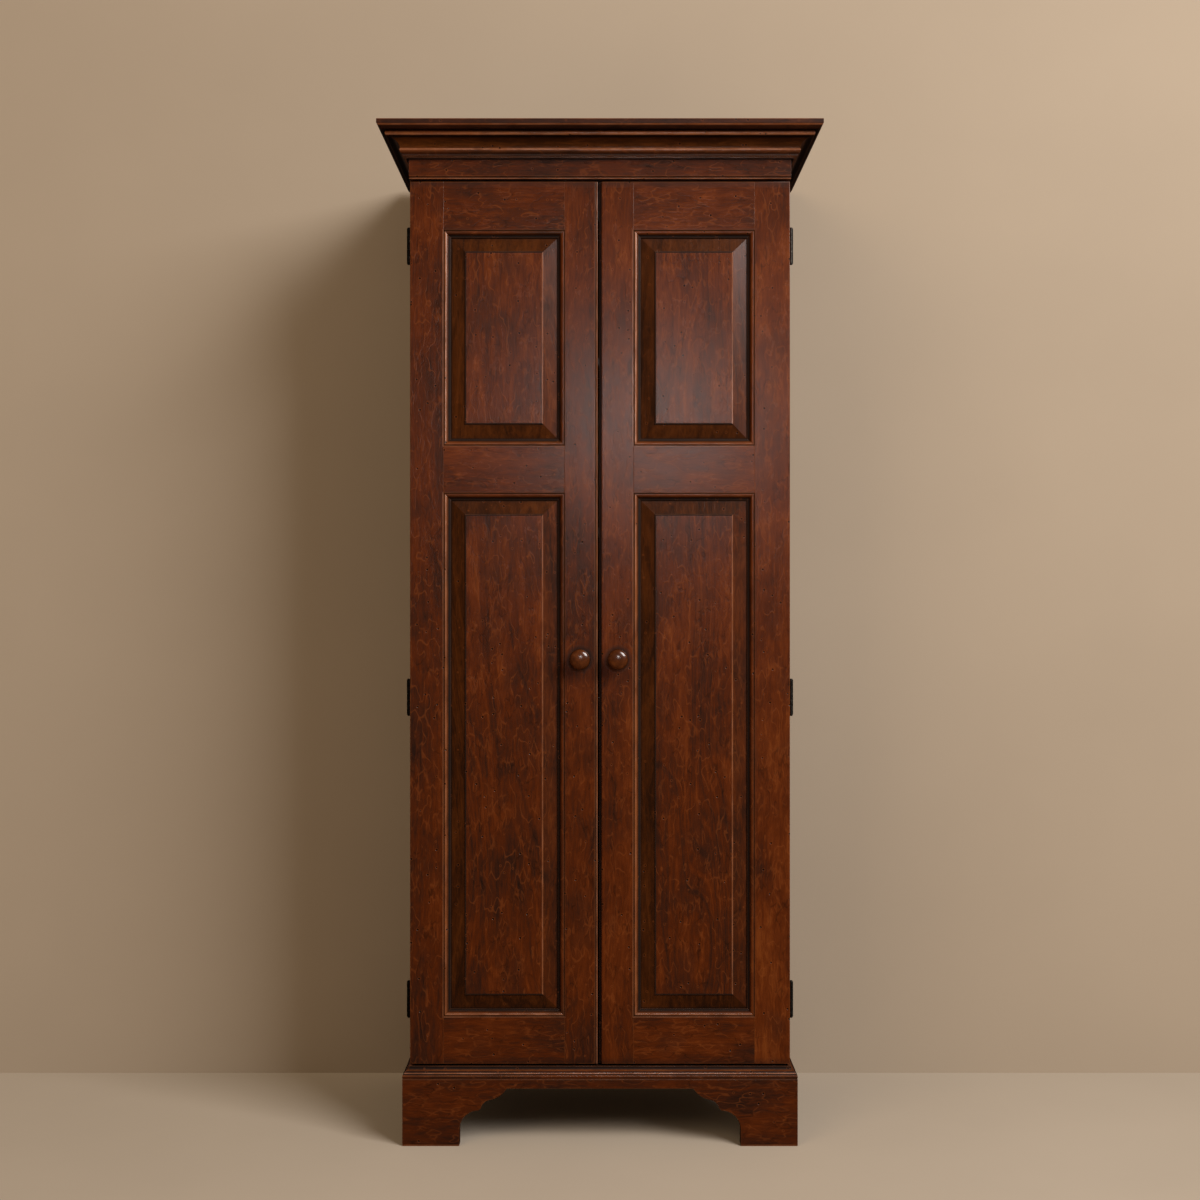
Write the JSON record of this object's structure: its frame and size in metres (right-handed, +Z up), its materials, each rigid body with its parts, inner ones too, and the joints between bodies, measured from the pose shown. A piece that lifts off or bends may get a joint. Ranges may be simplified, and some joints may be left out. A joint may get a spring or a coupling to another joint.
{
  "type": "tall cabinet",
  "caption": "Tall stained-wood linen cupboard with raised-panel doors on butt hinges, adjustable shelves, moulded cornice and shaped bracket feet.",
  "frame": {"origin": "on the floor under the middle of the bounding box: half-way across the front, and half-way from the back to the front edge of the cap", "axes": "+Z up, the doors face -Y, +X runs to the right seen from the front"},
  "size_m": [0.8218, 0.501, 1.9],
  "materials": {
    "stained_wood": "dark red-brown stain and satin varnish, dark in the recesses and rubbed at the edges",
    "inner_wood": "red-brown stain, thinner and more even than outside",
    "plain_wood": "unpolished secondary wood with a thin wash of stain",
    "knob_wood": "turned wood, stained and polished",
    "blackened_hinge": "oil-blackened metal, rubbed a little bright on the knuckles",
    "zinc_screw": "bright zinc plate",
    "steel_plate": "satin steel",
    "catch_housing": "brown moulded plastic",
    "shelf_pin_metal": "dull brass plate"
  },
  "bodies": {
    "case": {"back_boards": "plain_wood", "base_back": "plain_wood", "base_frame_back": "plain_wood", "base_frame_front": "stained_wood", "base_frame_left": "stained_wood", "base_frame_right": "stained_wood", "base_front": "stained_wood", "base_left": "stained_wood", "base_right": "stained_wood", "case_bottom": "inner_wood", "case_hinge_leaves": "blackened_hinge", "case_screws": "blackened_hinge", "case_top": "inner_wood", "cornice_back": "plain_wood", "crown_front": "stained_wood", "crown_left": "stained_wood", "crown_right": "stained_wood", "face_rail_bottom": "stained_wood", "face_rail_top": "stained_wood", "face_stile_left": "stained_wood", "face_stile_right": "stained_wood", "frieze_front": "stained_wood", "frieze_left": "stained_wood", "frieze_right": "stained_wood", "glue_blocks": "plain_wood", "hinge_pins": "blackened_hinge", "magnetic_catch": "catch_housing", "shelf_1": "inner_wood", "shelf_2": "inner_wood", "shelf_3": "inner_wood", "shelf_4": "inner_wood", "shelf_pins": "shelf_pin_metal", "side_left": "stained_wood", "side_right": "stained_wood", "top_cap": "stained_wood"},
    "door_left": {"bottom_rail_left": "stained_wood", "hinge_leaves_left": "blackened_hinge", "hinge_screws_left": "blackened_hinge", "hinge_stile_left": "stained_wood", "knob_left": "knob_wood", "knob_screw_left": "zinc_screw", "lock_rail_left": "stained_wood", "lower_panel_left": "stained_wood", "meeting_stile_left": "stained_wood", "strike_left": "steel_plate", "top_rail_left": "stained_wood", "upper_panel_left": "stained_wood"},
    "door_right": {"bottom_rail_right": "stained_wood", "hinge_leaves_right": "blackened_hinge", "hinge_screws_right": "blackened_hinge", "hinge_stile_right": "stained_wood", "knob_right": "knob_wood", "knob_screw_right": "zinc_screw", "lock_rail_right": "stained_wood", "lower_panel_right": "stained_wood", "meeting_stile_right": "stained_wood", "strike_right": "steel_plate", "top_rail_right": "stained_wood", "upper_panel_right": "stained_wood"}
  },
  "joints": [
    {"name": "left_door_hinge", "type": "hinge", "parent": "case", "child": "door_left", "pos_m": [-0.3592, -0.172, 0.9735], "axis": [0, 0, -1], "range_deg": [0, 180]},
    {"name": "right_door_hinge", "type": "hinge", "parent": "case", "child": "door_right", "pos_m": [0.3592, -0.172, 0.9735], "axis": [0, 0, 1], "range_deg": [0, 180]}
  ]
}
